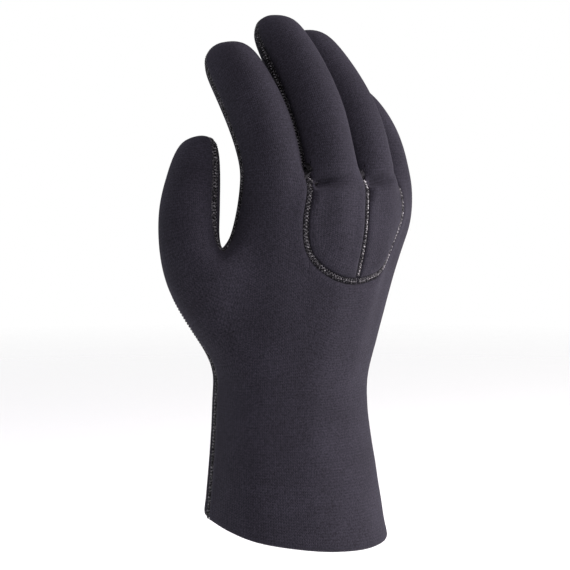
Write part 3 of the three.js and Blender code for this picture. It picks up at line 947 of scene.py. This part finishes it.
def laid_along(name, tree, lines, stitch, reach, finish):
    """Runs the stitch tree on a copy of the seam lines and keeps the result as a plain mesh."""
    carrier = link_piece(lines.data.copy())
    modifier = carrier.modifiers.new("stitches", "NODES")
    modifier.node_group = tree
    values = {"Stitch": stitch, "Pitch": STITCH_PITCH, "Reach": reach, "Finish": finish}
    for item in tree.interface.items_tree:
        if item.in_out == "INPUT" and item.name in values:
            modifier[item.identifier] = values[item.name]
    mesh = evaluated_mesh(carrier)
    mesh.name = name
    return link_piece(mesh)


class Shader:
    """A material's node tree, with short ways to add and join its nodes."""

    def __init__(self, name):
        self.material = bpy.data.materials.new(name)
        self.material.use_nodes = True
        self.tree = self.material.node_tree
        self.surface = self.tree.nodes["Principled BSDF"]

    def node(self, kind, inputs=(), **settings):
        made = self.tree.nodes.new(kind)
        for key, value in settings.items():
            setattr(made, key, value)
        for socket, value in dict(inputs).items():
            if isinstance(value, bpy.types.NodeSocket):
                self.tree.links.new(value, made.inputs[socket])
            else:
                made.inputs[socket].default_value = value
        return made

    def math(self, operation, a, b=0.0):
        return self.node("ShaderNodeMath", {0: a, 1: b}, operation=operation).outputs[0]

    def ramp(self, value, low, high, start=0.0, end=1.0):
        inputs = {"Value": value, "From Min": low, "From Max": high, "To Min": start, "To Max": end}
        return self.node("ShaderNodeMapRange", inputs).outputs[0]

    def noise(self, place, scale, detail=2.0):
        inputs = {"Vector": place, "Scale": scale, "Detail": detail}
        return self.node("ShaderNodeTexNoise", inputs).outputs[0]

    def paint(self, colour, light):
        """Gives the surface a colour, times how light it is."""
        tint = self.node("ShaderNodeVectorMath", {0: colour, 3: light}, operation="SCALE")
        self.join(tint.outputs[0], "Base Color")

    def rough(self, height, strength, distance):
        inputs = {"Height": height, "Strength": strength, "Distance": distance}
        self.join(self.node("ShaderNodeBump", inputs).outputs[0], "Normal")

    def object_place(self):
        return self.node("ShaderNodeTexCoord").outputs["Object"]

    def set(self, **values):
        for name, value in values.items():
            self.surface.inputs[name.replace("_", " ")].default_value = value

    def join(self, output, name):
        self.tree.links.new(output, self.surface.inputs[name])


def knit_height(shader):
    """The height of the jersey's loops, from 0 to 1: courses of small slanting stitches."""
    place = shader.node("ShaderNodeUVMap", uv_map="knit").outputs[0]
    parts = shader.node("ShaderNodeSeparateXYZ", {0: place})
    across = shader.math("FRACT", shader.math("DIVIDE", parts.outputs[0], KNIT_WALE))
    slant = shader.math("ABSOLUTE", shader.math("SUBTRACT", across, 0.5))
    course = shader.math("DIVIDE", parts.outputs[1], KNIT_COURSE)
    phase = shader.math("ADD", course, shader.math("MULTIPLY", slant, 1.2))
    loops = shader.math("SINE", shader.math("MULTIPLY", phase, 2 * math.pi))
    wale = shader.math("COSINE", shader.math("MULTIPLY", slant, 2 * math.pi))
    loops, wale = shader.math("MULTIPLY", loops, 0.3), shader.math("MULTIPLY", wale, 0.2)
    height = shader.math("ADD", loops, wale)
    return shader.math("ADD", height, 0.5)


def stitched_down(shader):
    """How far the sheet is drawn down beside a seam, from 0 to 1: most where the needle went in. It
    gives the dip's bump and the painted shade beside the seam.
    """
    distance = shader.node("ShaderNodeAttribute", attribute_name="seam_distance").outputs["Fac"]
    from_row = shader.math("ABSOLUTE", shader.math("SUBTRACT", distance, 0.9 * KNUCKLE_REACH))
    return shader.ramp(from_row, 0, 0.8 * KNUCKLE_REACH, 1.0, 0.0)


def jersey(name, colour, shade):
    """Fine matt knit jersey on neoprene: loops, uneven dye, soft fuzz, and painted shade in the
    loops' hollows and beside the seams.
    """
    shader = Shader(name)
    height = knit_height(shader)
    place = shader.object_place()
    cloud = shader.noise(place, 45.0, 3.0)
    fuzz = shader.noise(place, 1300.0)
    seam = stitched_down(shader)
    cloud_light = shader.ramp(cloud, 0.3, 0.7, 0.86, 1.14)
    light = shader.math("MULTIPLY", cloud_light, shader.ramp(fuzz, 0.3, 0.7, 0.6, 1.4))
    # Painted shade: the knit is darker in the hollows between its loops and lighter on their tops.
    light = shader.math("MULTIPLY", light, shader.ramp(height, 0, 1, 0.7, 1.25))
    # Painted shade beside the seams: darkest, at the shade share, along the row where the needle went
    # in.
    light = shader.math("MULTIPLY", light, shader.ramp(seam, 0, 1, 1.0, shade))
    shader.paint(colour, light)
    height, fuzz = shader.math("MULTIPLY", height, 0.4), shader.math("MULTIPLY", fuzz, 0.9)
    rough = shader.math("ADD", height, fuzz)
    rough = shader.math("SUBTRACT", rough, shader.math("MULTIPLY", seam, 1.6))
    shader.rough(rough, 0.55, 0.00022)
    shader.set(Roughness=0.92, Specular_IOR_Level=0.12, Sheen_Weight=0.04, Sheen_Roughness=0.5)
    shader.set(Sheen_Tint=(0.85, 0.8, 1.0, 1))
    return shader.material


def foam():
    """The cut edge of the neoprene: dull foam rubber with fine closed cells."""
    shader = Shader("neoprene_foam")
    inputs = {"Vector": shader.object_place(), "Scale": 2200.0}
    cells = shader.node("ShaderNodeTexVoronoi", inputs).outputs["Distance"]
    shader.paint(FOAM_COLOUR, shader.ramp(cells, 0, 0.6, 0.5, 1.2))
    shader.rough(cells, 0.6, 0.0002)
    shader.set(Roughness=0.75, Specular_IOR_Level=0.3)
    return shader.material


def thread(name, colour):
    """Bonded sewing thread: worn brighter here and darker there, with the twist of its plies."""
    shader = Shader(name)
    plies = shader.noise(shader.object_place(), 900.0)
    shader.paint(colour, shader.ramp(plies, 0.42, 0.62, 0.12, 1.6))
    shader.set(Roughness=0.7, Specular_IOR_Level=0.25)
    return shader.material


def painted_hole_shade():
    """Painted shade down in the needle's holes, mottled at random."""
    shader = Shader("needle_hole_dark")
    hole_mottle = shader.noise(shader.object_place(), 900.0)
    shader.paint(HOLE_SHADE_COLOUR, shader.ramp(hole_mottle, 0.3, 0.7, 0.5, 1.5))
    shader.set(Roughness=0.95, Specular_IOR_Level=0.1)
    return shader.material


def make_camera():
    data = bpy.data.cameras.new("camera")
    data.lens = CAMERA_LENS
    data.shift_x, data.shift_y = CAMERA_SHIFT
    data.clip_start, data.clip_end = 0.01, 50
    camera = bpy.data.objects.new("camera", data)
    bpy.context.scene.collection.objects.link(camera)
    azimuth, elevation = math.radians(CAMERA_AZIMUTH), math.radians(CAMERA_ELEVATION)
    away = Vector((
        math.sin(azimuth) * math.cos(elevation),
        -math.cos(azimuth) * math.cos(elevation),
        math.sin(elevation),
    ))
    camera.location = CAMERA_TARGET + away * CAMERA_DISTANCE
    camera.rotation_mode = "QUATERNION"
    camera.rotation_quaternion = (-away).to_track_quat("-Z", "Y")
    bpy.context.scene.camera = camera


def soft_light(name, place, power, colour):
    """A large square light that faces the glove."""
    data = bpy.data.lights.new(name, "AREA")
    data.size = LIGHT_SIZE
    data.energy = power
    data.color = colour
    light = bpy.data.objects.new(name, data)
    bpy.context.scene.collection.objects.link(light)
    light.location = place
    light.rotation_mode = "QUATERNION"
    light.rotation_quaternion = (CAMERA_TARGET - light.location).to_track_quat("-Z", "Y")


def lit_surround():
    """A white surround for the eye, which lights the glove only faintly."""
    surround = bpy.data.worlds.new("surround")
    surround.use_nodes = True
    tree = surround.node_tree
    faint = tree.nodes["Background"]
    faint.inputs["Color"].default_value = (0.9, 0.92, 1, 1)
    faint.inputs["Strength"].default_value = SURROUND_LIGHT
    white = tree.nodes.new("ShaderNodeBackground")
    white.inputs["Color"].default_value = (1, 1, 1, 1)
    either = tree.nodes.new("ShaderNodeMixShader")
    seen = tree.nodes.new("ShaderNodeLightPath").outputs["Is Camera Ray"]
    tree.links.new(seen, either.inputs["Fac"])
    tree.links.new(faint.outputs[0], either.inputs[1])
    tree.links.new(white.outputs[0], either.inputs[2])
    tree.links.new(either.outputs[0], tree.nodes["World Output"].inputs["Surface"])
    bpy.context.scene.world = surround


def pale_floor():
    """A pale round floor that fades out into the white surround."""
    disc = bmesh.new()
    bmesh.ops.create_circle(disc, cap_ends=True, segments=96, radius=FLOOR_RADIUS)
    bmesh.ops.translate(disc, verts=disc.verts, vec=(0, 0, FLOOR_HEIGHT))
    floor = bpy.data.meshes.new("floor")
    disc.to_mesh(floor)
    disc.free()
    shader = Shader("pale_floor")
    inputs = {0: shader.object_place()}
    outward = shader.node("ShaderNodeVectorMath", inputs, operation="LENGTH").outputs["Value"]
    near, far = (share * FLOOR_RADIUS for share in FLOOR_FADE)
    shader.join(shader.ramp(outward, near, far, 1.0, 0.0), "Alpha")
    shader.set(Base_Color=(0.9, 0.9, 0.9, 1), Roughness=0.9, Specular_IOR_Level=0.0)
    shader.set(Emission_Color=(1, 1, 1, 1), Emission_Strength=FLOOR_GLOW)
    floor.materials.append(shader.material)
    link_piece(floor)


def from_camera(right, towards, up):
    """A place round the glove, measured as the camera sees it."""
    across, near = camera_ways()
    return CAMERA_TARGET + across * right + near * towards + Vector((0, 0, up))


def make_studio():
    """A pale floor, a white surround, and three large soft lights: one from the photograph's right,
    one from above the camera, and a weaker one from the far left, which also shows the palm."""
    pale_floor()
    lit_surround()
    bpy.context.scene.view_settings.view_transform = "Standard"
    for name, (place, power, colour) in LIGHTS.items():
        soft_light(name, from_camera(*place), power, colour)


def dress_glove():
    skin = rounded_skin()
    ease_seams(skin)
    skin.normal_update()
    from_seam, plain, from_hem = shape_surface(skin)
    skin.normal_update()
    # The last number is how dark the painted shade beside the seams gets; the lining has none.
    back_jersey = jersey("jersey_back", BACK_COLOUR, 0.3)
    # The palm's knit colour holds its own darker tone and painted shade.
    palm_jersey_and_shade = jersey("jersey_palm", PALM_COLOUR_AND_SHADE, 0.3)
    lining = jersey("jersey_lining", LINING_COLOUR, 1.0)
    cut_edge = foam()
    for panel, node in enumerate(PANELS):
        piece = panel_piece(skin, panel, plain, from_seam, from_hem)
        for finish in (palm_jersey_and_shade if panel == PALM else back_jersey, lining, cut_edge):
            piece.data.materials.append(finish)
        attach(piece, "root")
        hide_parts(node)
    stitch_glove(skin)
    skin.free()


def stitch_glove(skin):
    """Sews each seam with crossed threads, a thread along their middle, and spots of painted shade at
    the needle holes.
    """
    tree = stitch_tree()
    crossed, middle, holes = crossed_stitch(), middle_stitch(), needle_holes()
    dark = painted_hole_shade()
    legs = thread("thread_dark_grey", CROSSED_COLOUR)
    tops = {
        "main": thread("thread_main_seam", MIDDLE_COLOURS["main"]),
        "knuckles": thread("thread_knuckle_seam", MIDDLE_COLOURS["knuckles"]),
        "between": thread("thread_between_knuckles", MIDDLE_COLOURS["between"]),
    }
    reaches = {"main": MAIN_REACH, "knuckles": KNUCKLE_REACH, "between": BETWEEN_REACH}
    for kind, reach in reaches.items():
        lines = seam_lines(skin, kind)
        for name, stitch, finish in (
            ("crossed_thread", crossed, legs),
            ("middle_thread", middle, tops[kind]),
            # Dark spots of painted shade where the needle's holes are.
            ("needle_holes", holes, dark),
        ):
            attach(laid_along(kind + "_seam_" + name, tree, lines, stitch, reach, finish), "root")
        bpy.data.objects.remove(lines)
    for stitch in (crossed, middle, holes):
        bpy.data.objects.remove(stitch)


make_camera()
make_studio()
dress_glove()
